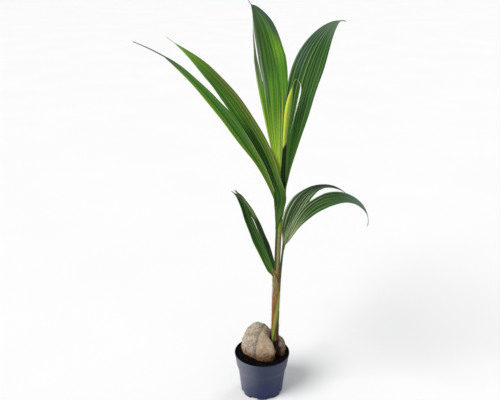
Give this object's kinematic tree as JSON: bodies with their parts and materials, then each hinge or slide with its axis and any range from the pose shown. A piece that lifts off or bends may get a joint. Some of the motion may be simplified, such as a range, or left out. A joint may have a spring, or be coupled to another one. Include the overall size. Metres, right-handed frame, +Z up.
{
  "type": "potted coconut palm",
  "caption": "Young coconut palm grown from a husked nut in a round nursery pot, with undivided pleated leaves split into lobes on a slim sheathed stem.",
  "frame": {"origin": "middle of the pot's flat underside, on the surface that it stands on", "axes": "+Z up along the plant, +X to the right of the picture, -Y towards the viewer"},
  "size_m": [0.6844, 0.3179, 1.3151],
  "materials": {
    "pot_plastic": "satin moulded plastic, dark blue-grey",
    "soil": "moist dark crumbs",
    "husk": "weathered, cracked and fibrous",
    "green_stem": "smooth green leaf base",
    "olive_sheath": "dry olive sheath",
    "brown_fibre": "dry brown fibre with a torn edge",
    "young_leaf": "satin yellow-green young leaf",
    "pale_thread": "pale dry leaf thread",
    "leaf": "satin pleated green blade"
  },
  "bodies": {
    "root": {"pot": "pot_plastic", "soil": "soil", "coconut_husk": "husk", "stem_core": "green_stem", "olive_sheath": "olive_sheath", "fibre_sheath": "brown_fibre", "scale_leaf": "young_leaf", "right_petiole": "green_stem", "spear": "young_leaf", "spear_thread": "pale_thread", "top_frond_left_lobe": "leaf", "top_frond_right_lobe": "leaf", "left_frond_far_lobe": "leaf", "left_frond_near_lobe": "leaf", "right_frond_far_lobe": "leaf", "right_frond_far_tip": "leaf", "right_frond_near_lobe": "leaf", "right_frond_near_tip": "leaf", "low_frond_far_lobe": "leaf", "low_frond_near_lobe": "leaf"}
  },
  "joints": []
}
